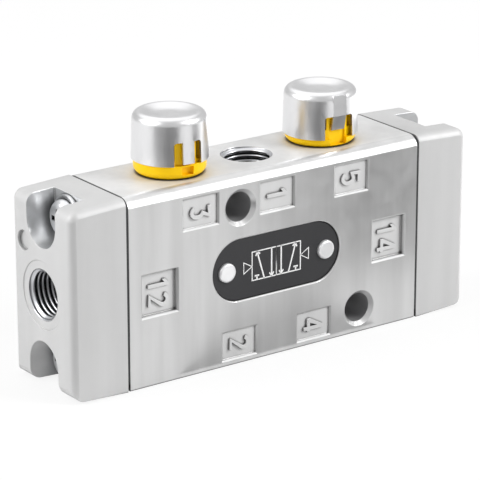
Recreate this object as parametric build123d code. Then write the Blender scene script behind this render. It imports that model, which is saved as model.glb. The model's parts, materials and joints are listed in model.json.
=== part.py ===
from build123d import *
import os

# Five-port, two-position air valve with an air pilot at each end, in millimetres.
# X runs along the valve, the front faces -Y, Z is up, and the origin is the middle of the bottom face.

# Body block
body_length = 90.0
body_depth = 27.0
body_height = 50.0
top_edge_radius = 3.4
# cut off the front and back after the top edges are rounded, which leaves a crisp line
body_skim = 0.12
bottom_edge_radius = 0.5

# End caps and the gaskets under them
gasket_thickness = 0.6
gasket_inset = 0.12
gasket_corner_radius = 3.0
cap_length = 16.0
# fall of a cap's top, and rise of its bottom, from the joint to the end
cap_draft = 0.75
cap_edge_radius = 2.2
cap_skim = 0.07
cap_top_corner_radius = 2.7
cap_bottom_corner_radius = 3.4
# shallow round dimple beside the upper notch
dimple_radius = 2.6
dimple_depth = 1.0
dimple_y = 8.2
dimple_z = 37.0

# Notches that let the cap screws in, and the screws
notch_radius = 6.5
notch_depth = 8.3
# from the top or bottom face to the middle of the notch's arc
notch_inset = 6.3
screw_inset = 6.5
screw_radius = 2.5
screw_length = 20.0
screw_clearance = 0.2
tapped_hole_clearance = 0.1
tapped_hole_extra = 0.8
screw_head_radius = 4.8
screw_head_height = 2.5
screw_head_edge_radius = 1.9
screw_tip_chamfer = 0.5
recess_length = 5.2
recess_width = 1.2
recess_depth = 1.4
washer_radius = 5.8
washer_thickness = 1.0

# Threaded ports, as bores at the thread's major radius
port_radius = 6.58
port_depth = 10.5
passage_radius = 4.0
pilot_depth = 10.0
pilot_passage_radius = 2.0
spotface_radius = 8.8
spotface_depth = 0.25

# Through holes that fasten the valve to a panel
panel_hole_radius = 3.85
panel_hole_chamfer = 1.0
# from the middle between ports 3 and 1
upper_hole_shift = 0.25
# from the top face
upper_hole_inset = 8.5
# from the axis of port 5
lower_hole_shift = 2.9
lower_hole_z = 6.65

# Sunk pads on the front face, one beside each port
pad_width = 10.3
pad_depth = 0.75
# width of the sloping rim round each pad
pad_rim = 0.4
upper_pad_low_z = 38.8
upper_pad_high_z = 46.5
lower_pad_low_z = 1.75
lower_pad_high_z = 9.0
# from the end of the body to the middle of a side pad
side_pad_inset = 9.1
side_pad_low_z = 18.5
side_pad_high_z = 29.4
side_pad_depth = 1.35

# Nameplate in its sunk place, and its rivets
plate_length = 39.5
plate_height = 16.0
plate_thickness = 0.5
plate_clearance = 0.15
plate_recess_depth = 1.0
plate_recess_rim = 0.25
rivet_spacing = 31.0
rivet_head_radius = 2.5
rivet_head_height = 0.9
rivet_head_edge_radius = 0.6
rivet_shank_radius = 1.2
# from the floor of the plate's place
rivet_shank_length = 1.4
rivet_hole_clearance = 0.1

# Main bore, its galleries, and the stack of seals and spacers in it
bore_radius = 9.0
stack_clearance = 0.05
gallery_radius = 10.2
gallery_width = 6.0
seal_thickness = 2.4
spacer_inner_radius = 6.8
spacer_hole_radius = 1.6
spacer_hole_count = 8
bush_neck_length = 1.975
bush_flange_radius = 10.3
bush_flange_thickness = 1.4
bush_clearance = 0.08

# Spool
land_radius = 6.0
neck_radius = 4.0
land_chamfer = 0.4
spool_clearance = 0.03
stroke = 5.9
# how far a land reaches past the middle of the seal that it closes
land_overlap = 1.5
spigot_radius = 3.5
spigot_length = 2.8
spigot_clearance = 0.05

# Pistons at the spool's ends
piston_bore_radius = 10.5
piston_radius = 10.2
piston_thickness = 4.0
piston_groove_radius = 8.0
piston_groove_width = 2.2
piston_seal_clearance = 0.03
piston_end_gap = 0.5

# Rubber bumpers in the caps
bumper_radius = 8.0
bumper_hole_radius = 5.0
bumper_recess_depth = 1.2
bumper_proud = 1.2
bumper_clearance = 0.1
bumper_gap = 0.05

# Silencers in the two exhaust ports; heights are above the body's top face
silencer_turn = -4.5
spigot_thread_clearance = 0.08
silencer_spigot_depth = 8.0
silencer_spigot_chamfer = 0.8
silencer_bore_radius = 4.4
silencer_floor = 2.0
ring_radius = 9.2
ring_foot_rounding = 1.9
left_ring_height = 3.7
right_ring_height = 2.25
wall_radius = 8.3
wall_thickness = 1.2
wall_height = 12.0
vent_width = 2.4
vent_low = 4.6
vent_high = 10.0
vent_count = 6
element_clearance = 0.15
element_bore_radius = 4.2
element_height = 10.2
shell_radius = 9.78
shell_top_radius = 9.35
# to the rim's corner before it is rounded
shell_height = 12.7
shell_thickness = 0.7
shell_edge_radius = 2.1
shell_dish_depth = 1.6
shell_dish_radius = 3.6
shell_dish_blend = 9.0
seat_gap = 0.05
window_height = 6.0
slot_width = 2.2
slot_corner_radius = 0.9
left_tab_width = 3.3
right_tab_width = 3.9
# gap between the end of the straight tab and the shell's edge
tab_end_rise = 0.4
bent_tab_rise = 2.2
bent_tab_lean = 0.9
# the flat strip of the right shell, pressed in above its tab
tab_flat_height = 5.4
tab_flat_depth = 0.5
# from the outside of the shell inwards
tab_cut_depth = 2.4
clip_pocket_depth = 1.4
clip_pocket_low = 1.2
clip_pocket_height = 2.2
clip_window_low = 0.6
clip_window_height = 7.0
clip_window_clearance = 0.4
# wall left behind the bent tab
clip_window_wall = 0.4

# Places worked out from the sizes above, for the right end where they have a side
valve_z = body_height / 2
body_end = body_length / 2
cap_joint = body_end + gasket_thickness
cap_end = cap_joint + cap_length
notch_wall = cap_end - notch_depth
half_depth = body_depth / 2
screw_tip = notch_wall + washer_thickness - screw_length
side_pad_x = body_end - side_pad_inset

# piston faces when the spool stands in the middle of its travel
half_stroke = stroke / 2
piston_outer = cap_joint - bumper_proud - bumper_gap - half_stroke
piston_inner = piston_outer - piston_thickness
bush_face = piston_inner - half_stroke - piston_end_gap
piston_bore_floor = bush_face - bush_flange_thickness
# the spool rests at the left end of its travel
rest_shift = -half_stroke

# six seals fill the bore between the two bushes, with a port between each two
stack_end = piston_bore_floor - bush_neck_length
seal_pitch = (stack_end - seal_thickness / 2) / 2.5
port_pitch = 2 * seal_pitch
seal_places = [(k - 2.5) * seal_pitch for k in range(6)]
spacer_places = [(k - 2) * seal_pitch for k in range(5)]
upper_hole_x = upper_hole_shift - seal_pitch
lower_hole_x = port_pitch + lower_hole_shift

# the plate's face and the floor of its place
plate_back = -half_depth + plate_recess_depth
plate_face = plate_back - plate_thickness
# how far a cutter runs past the face that it leaves
past = 1.0


def rod_x(radius, start, end, y=0.0, z=valve_z):
    """Cylinder along X between two places."""
    return Pos((start + end) / 2, y, z) * Rot(0, 90, 0) * Cylinder(radius, abs(end - start))


def rod_y(radius, start, end, x, z):
    """Cylinder along Y between two places."""
    return Pos(x, (start + end) / 2, z) * Rot(90, 0, 0) * Cylinder(radius, abs(end - start))


def rod_z(radius, low, high, x=0.0, y=0.0):
    """Cylinder along Z between two heights."""
    return Pos(x, y, (low + high) / 2) * Cylinder(radius, abs(high - low))


def block(x0, x1, y0, y1, z0, z1):
    """Box between two corners."""
    middle = Pos((x0 + x1) / 2, (y0 + y1) / 2, (z0 + z1) / 2)
    return middle * Box(abs(x1 - x0), abs(y1 - y0), abs(z1 - z0))


def other_end(piece):
    """The same piece at the right end, turned half a turn about Z."""
    return Rot(0, 0, 180) * piece


def chamfer_cone(radius, size, y, direction, x, z):
    """Cone that breaks the edge of a hole along Y at the face y; the hole runs towards direction."""
    cone = Cone(radius + size + past, radius, size + past, align=(Align.CENTER, Align.CENTER, Align.MIN))
    turn = Rot(-90, 0, 0) if direction > 0 else Rot(90, 0, 0)
    return Pos(x, y - direction * past, z) * turn * cone


def panel_hole(x, z):
    """Through hole along Y with both edges broken."""
    hole = rod_y(panel_hole_radius, -half_depth - past, half_depth + past, x, z)
    front = chamfer_cone(panel_hole_radius, panel_hole_chamfer, -half_depth, 1, x, z)
    back = chamfer_cone(panel_hole_radius, panel_hole_chamfer, half_depth, -1, x, z)
    return [hole, front, back]


def facing_front(y, x=0.0, z=valve_z):
    """Plane across Y that faces the front."""
    return Plane(origin=(x, y, z), x_dir=(1, 0, 0), z_dir=(0, -1, 0))


def sunk_place(sketch, depth, rim, x=0.0, z=valve_z):
    """Cutter for a flat-floored place in the front face, with a sloping rim all round."""
    straight = extrude(facing_front(-half_depth + depth, x, z) * sketch, depth)
    sloping = extrude(facing_front(-half_depth + rim, x, z) * sketch, rim + past, taper=-45)
    return [straight, sloping]


def pad(x, low, high, depth):
    """Cutters for a sunk rectangle in the front face."""
    return sunk_place(Rectangle(pad_width, high - low), depth, pad_rim, x, (low + high) / 2)


def screw_places():
    """Heights of the two screws that hold each cap."""
    return [screw_inset, body_height - screw_inset]


def make_valve_body():
    """Machined block with ports, bores, panel holes, pads and tapped holes."""
    body = Pos(0, 0, body_height / 2) * Box(body_length, body_depth + 2 * body_skim, body_height)
    body = fillet(body.edges().filter_by(Axis.X).group_by(Axis.Z)[-1], top_edge_radius)
    body &= block(-body_end, body_end, -half_depth, half_depth, 0, body_height)
    body = fillet(body.edges().filter_by(Axis.X).group_by(Axis.Z)[0], bottom_edge_radius)
    cuts = [rod_x(bore_radius, -body_end - past, body_end + past)]
    for side in (-1, 1):
        cuts.append(rod_x(piston_bore_radius, side * piston_bore_floor, side * (body_end + past)))
        for z in screw_places():
            hole_end = screw_tip - tapped_hole_extra
            radius = screw_radius + tapped_hole_clearance
            cuts.append(rod_x(radius, side * hole_end, side * (body_end + past), z=z))
        cuts.extend(pad(side * side_pad_x, side_pad_low_z, side_pad_high_z, side_pad_depth))
        rivet_x = side * rivet_spacing / 2
        radius = rivet_shank_radius + rivet_hole_clearance
        floor = plate_back + rivet_shank_length + rivet_hole_clearance
        cuts.append(rod_y(radius, -half_depth - past, floor, rivet_x, valve_z))
    recess = SlotOverall(plate_length + 2 * plate_clearance, plate_height + 2 * plate_clearance)
    cuts.extend(sunk_place(recess, plate_recess_depth, plate_recess_rim))
    for x in spacer_places:
        cuts.append(rod_x(gallery_radius, x - gallery_width / 2, x + gallery_width / 2))
    for x in spacer_places[0::2]:
        cuts.append(rod_z(port_radius, body_height - port_depth, body_height + past, x))
        cuts.append(rod_z(passage_radius, valve_z, body_height - port_depth / 2, x))
        cuts.extend(pad(x, upper_pad_low_z, upper_pad_high_z, pad_depth))
    for x in spacer_places[1::2]:
        cuts.append(rod_z(port_radius, -past, port_depth, x))
        cuts.append(rod_z(passage_radius, port_depth / 2, valve_z, x))
        cuts.extend(pad(x, lower_pad_low_z, lower_pad_high_z, pad_depth))
    cuts.extend(panel_hole(upper_hole_x, body_height - upper_hole_inset))
    cuts.extend(panel_hole(lower_hole_x, lower_hole_z))
    return body - cuts


def make_left_cap():
    """Cast cap with drafted top and bottom, rounded ends, screw notches and the pilot port."""
    # the top and end edges are rounded on a block that runs on below the bottom
    foot = -cap_length
    upper = FilletPolyline(
        (-cap_end, foot),
        (-cap_end, body_height - cap_draft),
        (-cap_joint, body_height),
        radius=cap_top_corner_radius,
    )
    upper_rest = Polyline((-cap_joint, body_height), (-cap_joint, foot), (-cap_end, foot))
    cast_half = half_depth + cap_skim
    face = Plane.XZ * make_face([*upper.edges(), *upper_rest.edges()])
    cap = extrude(face, amount=cast_half, both=True)
    rims = cap.edges().filter_by(lambda edge: abs(abs(edge.center().Y) - cast_half) < 0.01)
    rims = rims.filter_by(lambda edge: abs(edge.center().X + cap_joint) > 0.01)
    rims = rims.filter_by(lambda edge: edge.center().Z > 0)
    cap = fillet(rims, cap_edge_radius)
    lower = FilletPolyline(
        (-cap_joint, 0),
        (-cap_end, cap_draft),
        (-cap_end, body_height),
        radius=cap_bottom_corner_radius,
    )
    lower_rest = Polyline((-cap_end, body_height), (-cap_joint, body_height), (-cap_joint, 0))
    face = Plane.XZ * make_face([*lower.edges(), *lower_rest.edges()])
    cap &= extrude(face, amount=half_depth, both=True)
    cuts = [
        rod_x(port_radius, -cap_end - past, -cap_end + pilot_depth),
        rod_x(spotface_radius, -cap_end - past, -cap_end + spotface_depth),
        rod_x(pilot_passage_radius, -cap_end + pilot_depth / 2, -cap_joint + past),
        rod_x(bumper_radius + bumper_clearance, -cap_joint - bumper_recess_depth, -cap_joint + past),
        rod_x(dimple_radius, -cap_end - past, -cap_end + dimple_depth, y=dimple_y, z=dimple_z),
    ]
    for z in screw_places():
        cuts.append(rod_x(screw_radius + screw_clearance, -notch_wall - past, -cap_joint + past, z=z))
    top, bottom = body_height - notch_inset, notch_inset
    open_ends = ((top, body_height + past), (bottom, -past))
    for arc_z, outside_z in open_ends:
        cuts.append(rod_x(notch_radius, -cap_end - past, -notch_wall, z=arc_z))
        cuts.append(block(-cap_end - past, -notch_wall, -notch_radius, notch_radius, arc_z, outside_z))
    return cap - cuts


def make_left_gasket():
    """Flat gasket just inside the outline of the cap."""
    width = body_depth - 2 * gasket_inset
    height = body_height - 2 * gasket_inset
    sheet = RectangleRounded(width, height, gasket_corner_radius)
    plane = Plane(origin=(-body_end, 0, valve_z), x_dir=(0, 1, 0), z_dir=(-1, 0, 0))
    gasket = extrude(plane * sheet, gasket_thickness)
    cuts = [rod_x(piston_bore_radius, -cap_end, 0)]
    for z in screw_places():
        cuts.append(rod_x(screw_radius + screw_clearance, -cap_end, 0, z=z))
    return gasket - cuts


def make_left_screws():
    """Two pan-head screws with a cross recess, lying along X."""
    head_base = -notch_wall - washer_thickness
    top = head_base - screw_head_height
    screws = []
    for z in screw_places():
        head = rod_x(screw_head_radius, top, head_base, z=z)
        head = fillet(head.edges().group_by(Axis.X)[0], screw_head_edge_radius)
        for wide, high in ((recess_length, recess_width), (recess_width, recess_length)):
            floor = top + recess_depth
            head -= block(top - past, floor, -wide / 2, wide / 2, z - high / 2, z + high / 2)
        shank = rod_x(screw_radius, head_base - past / 2, -screw_tip, z=z)
        shank = chamfer(shank.edges().group_by(Axis.X)[-1], screw_tip_chamfer)
        screws.append(head + shank)
    return Compound(screws)


def make_left_washers():
    """Two plain washers under the screw heads."""
    washers = []
    for z in screw_places():
        disc = rod_x(washer_radius, -notch_wall - washer_thickness, -notch_wall, z=z)
        hole = rod_x(screw_radius + screw_clearance, -cap_end, -cap_joint, z=z)
        washers.append(disc - hole)
    return Compound(washers)


def make_nameplate():
    """Thin plate with round ends in its sunk place on the front face."""
    plate = extrude(facing_front(plate_back) * SlotOverall(plate_length, plate_height), plate_thickness)
    for side in (-1, 1):
        radius = rivet_shank_radius + rivet_hole_clearance
        plate -= rod_y(radius, plate_face - past, plate_back + past, side * rivet_spacing / 2, valve_z)
    return plate


def make_rivets():
    """Two round-head rivets that hold the nameplate."""
    rivets = []
    for side in (-1, 1):
        x = side * rivet_spacing / 2
        head = rod_y(rivet_head_radius, plate_face - rivet_head_height, plate_face, x, valve_z)
        head = fillet(head.edges().group_by(Axis.Y)[0], rivet_head_edge_radius)
        inside = plate_face - rivet_head_height / 2
        shank = rod_y(rivet_shank_radius, inside, plate_back + rivet_shank_length, x, valve_z)
        rivets.append(head + shank)
    return Compound(rivets)


def make_seal(x):
    """Ring that seals on the spool's lands."""
    outer = bore_radius - stack_clearance
    ring = rod_x(outer, x - seal_thickness / 2, x + seal_thickness / 2)
    hole = rod_x(land_radius + spool_clearance, x - seal_thickness, x + seal_thickness)
    return ring - hole


def make_spacer(x):
    """Slotted ring that holds two seals apart and lets the air through."""
    half = (seal_pitch - seal_thickness) / 2
    ring = rod_x(bore_radius - stack_clearance, x - half, x + half)
    ring -= rod_x(spacer_inner_radius, x - half - past, x + half + past)
    for k in range(spacer_hole_count // 2):
        hole = rod_z(spacer_hole_radius, -bore_radius - past, bore_radius + past)
        ring -= Pos(x, 0, valve_z) * Rot(360 / spacer_hole_count * (k + 0.5), 0, 0) * hole
    return ring


def make_left_bush():
    """Flanged bush that closes the stack and guides the spool."""
    neck = rod_x(bore_radius - stack_clearance, -piston_bore_floor - past / 2, -stack_end)
    flange = rod_x(bush_flange_radius, -bush_face, -piston_bore_floor)
    return neck + flange - rod_x(land_radius + bush_clearance, -body_end, 0)


def make_left_bumper():
    """Rubber ring that stops the piston."""
    face = -cap_joint + bumper_proud
    ring = rod_x(bumper_radius, -cap_joint - bumper_recess_depth, face)
    return ring - rod_x(bumper_hole_radius, -cap_end, 0)


def make_spool():
    """Turned spool with a middle land, two long outer lands, two necks and a spigot at each end."""
    reach = piston_inner + spigot_length
    middle_end = seal_places[3] + land_overlap - half_stroke
    outer_start = seal_places[4] - land_overlap + half_stroke
    spool = rod_x(spigot_radius, -reach, reach)
    spool += rod_x(neck_radius, -piston_inner + past, piston_inner - past)
    lands = ((-piston_inner, -outer_start), (-middle_end, middle_end), (outer_start, piston_inner))
    for start, end in lands:
        land = rod_x(land_radius, start, end)
        spool += chamfer(land.edges().filter_by(GeomType.CIRCLE), land_chamfer)
    return Pos(rest_shift, 0, 0) * spool


def make_left_piston():
    """Grooved piston on the spool's spigot."""
    middle = (piston_inner + piston_outer) / 2
    piston = rod_x(piston_radius, -piston_outer, -piston_inner)
    half = piston_groove_width / 2
    groove = rod_x(piston_radius + past, -middle - half, -middle + half)
    groove -= rod_x(piston_groove_radius, -piston_outer, -piston_inner)
    socket_end = -piston_inner - spigot_length - spigot_clearance
    socket = rod_x(spigot_radius + spigot_clearance, socket_end, -piston_inner + past)
    return piston - groove - socket


def make_left_piston_seal():
    """Seal in the piston's groove."""
    middle = (piston_inner + piston_outer) / 2
    half = piston_groove_width / 2 - spigot_clearance
    ring = rod_x(piston_bore_radius - piston_seal_clearance, -middle - half, -middle + half)
    return ring - rod_x(piston_groove_radius + spigot_clearance, -piston_outer, -piston_inner)


def half_outline(height, base, inset):
    """Face in the XZ plane between the axis and the shell's outline, moved inwards by inset."""
    top = base + height - inset
    line = FilletPolyline(
        (0, top - shell_dish_depth),
        (shell_dish_radius, top - shell_dish_depth),
        (shell_top_radius - inset, top),
        (shell_radius - inset, base),
        radius=[shell_dish_blend, shell_edge_radius - inset],
    )
    floor = Line((shell_radius - inset, base), (0, base))
    axis = Line((0, base), (0, top - shell_dish_depth))
    return Plane.XZ * make_face([*line.edges(), floor, axis])


def slot_cut(inner, side, low, high):
    """Cutters for an upright slot beside a tab; its outer top corner is rounded."""
    outside, inside = -shell_radius - past, -shell_dish_radius
    outer = inner + side * slot_width
    corner_x = outer - side * slot_corner_radius
    corner_z = high - slot_corner_radius
    return [
        block(inner, outer, outside, inside, low, corner_z),
        block(inner, corner_x, outside, inside, low, high),
        rod_y(slot_corner_radius, outside, inside, corner_x, corner_z),
    ]


def bent_tab(base):
    """Tab of the right shell, pressed inwards so that its end clips into the base."""
    outer = shell_radius - tab_flat_depth
    high = base + window_height + tab_flat_height
    bend = base + window_height
    low = base + bent_tab_rise
    tip = outer - bent_tab_lean
    outline = Polyline(
        (-outer, high),
        (-outer, bend),
        (-tip, low),
        (-tip + shell_thickness, low),
        (-outer + shell_thickness, bend),
        (-outer + shell_thickness, high),
        close=True,
    )
    face = Plane.YZ * make_face(outline)
    return extrude(face, amount=right_tab_width / 2, both=True)


def make_shell(ring_height, tab_width, bent):
    """Pressed metal shell with a dished top and, front and back, a tab between two slots."""
    base = ring_height + seat_gap
    shell = revolve(half_outline(shell_height, base, 0), Axis.Z)
    shell -= revolve(half_outline(shell_height, base, shell_thickness), Axis.Z)
    for turn in (0, 180):
        cuts = []
        for side in (-1, 1):
            cuts.extend(slot_cut(side * tab_width / 2, side, base - past, base + window_height))
        if bent:
            half = tab_width / 2
            cut_top = base + window_height + tab_flat_height
        else:
            half = (tab_width + slot_width) / 2
            cut_top = base + tab_end_rise
        outside, inside = -shell_radius - past, -shell_radius + tab_cut_depth
        cuts.append(block(-half, half, outside, inside, base - past, cut_top))
        shell -= [Rot(0, 0, turn) * cut for cut in cuts]
        if bent:
            shell += Rot(0, 0, turn) * bent_tab(base)
    return shell


def make_silencer_base(ring_height, bent):
    """Plastic base: threaded spigot, foot ring, and the vented wall that the shell sits over."""
    ring = rod_z(ring_radius, 0, ring_height)
    ring = fillet(ring.edges().group_by(Axis.Z)[0], min(ring_foot_rounding, ring_height * 0.8))
    spigot = rod_z(port_radius - spigot_thread_clearance, -silencer_spigot_depth, past)
    spigot = chamfer(spigot.edges().group_by(Axis.Z)[0], silencer_spigot_chamfer)
    base = spigot + ring + rod_z(wall_radius, ring_height / 2, wall_height)
    cuts = [
        rod_z(wall_radius - wall_thickness, silencer_floor, wall_height + past),
        rod_z(silencer_bore_radius, -silencer_spigot_depth - past, silencer_floor + past),
    ]
    for k in range(vent_count // 2):
        vent = block(-vent_width / 2, vent_width / 2, -ring_radius, ring_radius, vent_low, vent_high)
        cuts.append(Rot(0, 0, 360 / vent_count * (k + 0.5)) * vent)
    if bent:
        half = right_tab_width / 2 + clip_window_clearance
        inner = wall_radius - wall_thickness + clip_window_wall
        low, high = clip_window_low, clip_window_low + clip_window_height
    else:
        half = left_tab_width / 2
        inner = ring_radius - clip_pocket_depth
        low, high = clip_pocket_low, clip_pocket_low + clip_pocket_height
    for turn in (0, 180):
        pocket = block(-half, half, -ring_radius - past, -inner, low, high)
        cuts.append(Rot(0, 0, turn) * pocket)
    return base - cuts


def make_element():
    """Porous sleeve inside the silencer's wall."""
    radius = wall_radius - wall_thickness - element_clearance
    sleeve = rod_z(radius, silencer_floor, silencer_floor + element_height)
    return sleeve - rod_z(element_bore_radius, 0, silencer_floor + element_height + past)


def in_port(piece, x):
    """A silencer piece placed in the top port at x, turned a little to the left."""
    return Pos(x, 0, body_height) * Rot(0, 0, silencer_turn) * piece


pieces = {
    "valve_body": make_valve_body(),
    "nameplate": make_nameplate(),
    "nameplate_rivets": make_rivets(),
    "spool": make_spool(),
}

ended = {
    "end_cap": make_left_cap(),
    "gasket": make_left_gasket(),
    "cap_screws": make_left_screws(),
    "cap_washers": make_left_washers(),
    "end_bush": make_left_bush(),
    "bumper": make_left_bumper(),
}
for name, piece in ended.items():
    pieces["left_" + name] = piece
    pieces["right_" + name] = other_end(piece)

sliding = {"piston": make_left_piston(), "piston_seal": make_left_piston_seal()}
for name, piece in sliding.items():
    pieces["left_" + name] = Pos(rest_shift, 0, 0) * piece
    pieces["right_" + name] = Pos(rest_shift, 0, 0) * other_end(piece)

for number, x in enumerate(seal_places, start=1):
    pieces[f"spool_seal_{number}"] = make_seal(x)
for number, x in enumerate(spacer_places, start=1):
    pieces[f"seal_spacer_{number}"] = make_spacer(x)

silencers = (
    ("left", -port_pitch, left_ring_height, left_tab_width, False),
    ("right", port_pitch, right_ring_height, right_tab_width, True),
)
for side, x, ring_height, tab_width, bent in silencers:
    pieces[side + "_silencer_base"] = in_port(make_silencer_base(ring_height, bent), x)
    pieces[side + "_silencer_element"] = in_port(make_element(), x)
    pieces[side + "_silencer_shell"] = in_port(make_shell(ring_height, tab_width, bent), x)

os.makedirs("parts", exist_ok=True)
for name, piece in pieces.items():
    export_step(piece, f"parts/{name}.step")
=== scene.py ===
"""Looks of a five-port air valve with an air pilot at each end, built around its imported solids."""

import json
import logging
import math
from collections.abc import Sequence
from dataclasses import dataclass
from enum import Enum

import bmesh
import bpy
from mathutils import Matrix, Vector

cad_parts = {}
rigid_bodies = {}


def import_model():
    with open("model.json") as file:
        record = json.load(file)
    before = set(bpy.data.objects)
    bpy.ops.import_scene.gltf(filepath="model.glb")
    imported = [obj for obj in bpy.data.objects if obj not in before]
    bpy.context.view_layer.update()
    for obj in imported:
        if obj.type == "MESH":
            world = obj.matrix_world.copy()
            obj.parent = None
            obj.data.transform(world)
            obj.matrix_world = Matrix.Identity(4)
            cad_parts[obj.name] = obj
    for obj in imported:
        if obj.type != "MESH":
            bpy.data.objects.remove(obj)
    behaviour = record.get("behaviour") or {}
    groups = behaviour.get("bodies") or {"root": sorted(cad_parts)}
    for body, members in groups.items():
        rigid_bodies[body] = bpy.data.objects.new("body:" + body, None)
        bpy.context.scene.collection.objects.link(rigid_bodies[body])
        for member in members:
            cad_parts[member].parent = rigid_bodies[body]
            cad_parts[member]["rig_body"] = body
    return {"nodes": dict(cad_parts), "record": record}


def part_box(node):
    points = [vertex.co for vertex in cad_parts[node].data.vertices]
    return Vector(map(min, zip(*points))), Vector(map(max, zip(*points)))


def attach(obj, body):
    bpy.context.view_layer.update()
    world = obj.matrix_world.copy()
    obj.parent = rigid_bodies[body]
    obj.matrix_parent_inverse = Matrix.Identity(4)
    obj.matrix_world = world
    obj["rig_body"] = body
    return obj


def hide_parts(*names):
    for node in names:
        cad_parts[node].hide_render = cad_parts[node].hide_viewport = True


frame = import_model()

log = logging.getLogger("valve")

Tree = bpy.types.NodeTree
Node = bpy.types.Node
Socket = bpy.types.NodeSocket
Material = bpy.types.Material
Object = bpy.types.Object
Face = bpy.types.MeshPolygon
Value = float | int | str | bool | Sequence[float] | Socket | Material | None
Inputs = Sequence[Value] | dict[str | int, Value]
Point = tuple[float, float]
Stroke = tuple[Sequence[Point], bool]
Mouth = tuple[Vector, Vector]

MM = 0.001
# Points nearer than this, in metres, are one point.
WELD = 1e-6
# Degrees: up to the first, two faces are one; from the others, an edge is sharp, or broken.
FLAT_ANGLE = 0.2
SHARP_ANGLE = 13.0
BROKEN_ANGLE = 32.0
# Rays that look for walls around a point.
SHADE_SAMPLES = 8
# Limits that a noise texture seldom passes.
NOISE_REACH = (0.3, 0.7)


def linear(colour: str) -> tuple[float, float, float, float]:
    """Turns an sRGB hex colour into linear light.

    Args:
        colour: six hex digits after a hash.

    Returns:
        Red, green, blue and an alpha of one.
    """
    parts = (int(colour[i : i + 2], 16) / 255 for i in (1, 3, 5))
    lit = [c / 12.92 if c <= 0.04045 else ((c + 0.055) / 1.055) ** 2.4 for c in parts]
    return (*lit, 1.0)


def per_mm(size: float) -> float:
    """Gives the texture scale at which one cell is that many millimetres wide."""
    return 1.0 / (size * MM)


def add_node(tree: Tree, kind: str, inputs: Inputs = (), **settings: object) -> Node:
    """Adds a node with its settings and its links.

    Args:
        tree: the node tree that takes it.
        kind: the node's type name.
        inputs: a value or another node's output for each input, by place or by name;
            a list of outputs feeds an input that takes several.
        **settings: the node's own properties.

    Returns:
        The new node.
    """
    node = tree.nodes.new(kind)
    for name, setting in settings.items():
        setattr(node, name, setting)
    named = inputs if isinstance(inputs, dict) else dict(enumerate(inputs))
    for key, value in named.items():
        for one in value if isinstance(value, list) else [value]:
            if isinstance(one, Socket):
                tree.links.new(one, node.inputs[key])
            elif one is not None:
                node.inputs[key].default_value = one
    return node


def empty_tree(owner: Material | bpy.types.World) -> Tree:
    """Gives a material or a world a node tree with nothing in it.

    Args:
        owner: the material or world.

    Returns:
        Its tree.
    """
    owner.use_nodes = True
    owner.node_tree.nodes.clear()
    return owner.node_tree


def remap(tree: Tree, value: Socket, reach: Point, result: Sequence[Value] = (0.0, 1.0)) -> Socket:
    """Turns a value that goes between two limits into one that goes between two others."""
    return add_node(tree, "ShaderNodeMapRange", [value, *reach, *result]).outputs[0]


def blend(tree: Tree, share: Socket, first: Value, second: Value) -> Socket:
    """Mixes two colours, from all of the first at nought to all of the second at one."""
    stops = {0: share, 6: first, 7: second}
    return add_node(tree, "ShaderNodeMix", stops, data_type="RGBA").outputs[2]


# Finishes


@dataclass(frozen=True)
class Shade:
    """Painted shade: a darker colour put into a finish where the surface around closes in on it.

    The reach says how far away a wall counts, in millimetres. The other two are shares of open
    room: where the darker colour is full, and where there is none of it.
    """

    colour: str
    reach: float
    full_at: float
    none_at: float

    def over(self, tree: Tree, colour: Value) -> Socket:
        """Darkens a colour with painted shade.

        Args:
            tree: the material's node tree.
            colour: the colour in the open.

        Returns:
            The darkened colour.
        """
        near = {"Distance": self.reach * MM}
        room = add_node(tree, "ShaderNodeAmbientOcclusion", near, samples=SHADE_SAMPLES)
        open_share = remap(tree, room.outputs["AO"], (self.full_at, self.none_at))
        return blend(tree, open_share, linear(self.colour), colour)


@dataclass(frozen=True)
class Finish:
    """A finish: the real material's name, its colour, and how it takes light.

    Its gloss drifts in cloudy patches. A patch is cloud_size wide in millimetres, and the
    roughness goes cloud_amount each way. Its grain, if any, is grain_size wide and grain_height
    high, in millimetres.
    """

    name: str
    colour: str
    metallic: float = 0.0
    roughness: float = 0.5
    specular: float = 0.5
    cloud_size: float = 6.0
    cloud_amount: float = 0.04
    grain_size: float = 0.0
    grain_height: float = 0.01

    def material(self) -> Material:
        """Makes the material, once.

        Returns:
            The material, with this finish's pattern in its nodes.
        """
        found = bpy.data.materials.get(self.name)
        if found:
            return found
        material = bpy.data.materials.new(self.name)
        material.diffuse_color = linear(self.colour)
        tree = empty_tree(material)
        start = {
            "Base Color": linear(self.colour),
            "Metallic": self.metallic,
            "Roughness": self.roughness,
            "Specular IOR Level": self.specular,
        }
        shader = add_node(tree, "ShaderNodeBsdfPrincipled", start)
        add_node(tree, "ShaderNodeOutputMaterial", [shader.outputs[0]])
        place = add_node(tree, "ShaderNodeTexCoord").outputs["Object"]
        cloud = {"Vector": place, "Scale": per_mm(self.cloud_size)}
        clouds = add_node(tree, "ShaderNodeTexNoise", cloud).outputs[0]
        drift = (self.roughness - self.cloud_amount, self.roughness + self.cloud_amount)
        tree.links.new(remap(tree, clouds, NOISE_REACH, drift), shader.inputs["Roughness"])
        if self.grain_size:
            grain = {"Vector": place, "Scale": per_mm(self.grain_size)}
            grit = add_node(tree, "ShaderNodeTexNoise", grain).outputs[0]
            relief = {"Height": grit, "Distance": self.grain_height * MM, "Strength": 1.0}
            bump = add_node(tree, "ShaderNodeBump", relief)
            tree.links.new(bump.outputs[0], shader.inputs["Normal"])
        self.pattern(tree, shader, place)
        return material

    def pattern(self, tree: Tree, shader: Node, place: Socket) -> None:
        """Adds what the finish has besides clouds and grain; a plain one has nothing.

        Args:
            tree: the material's node tree.
            shader: its surface shader.
            place: the place on the object, in metres.
        """


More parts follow.
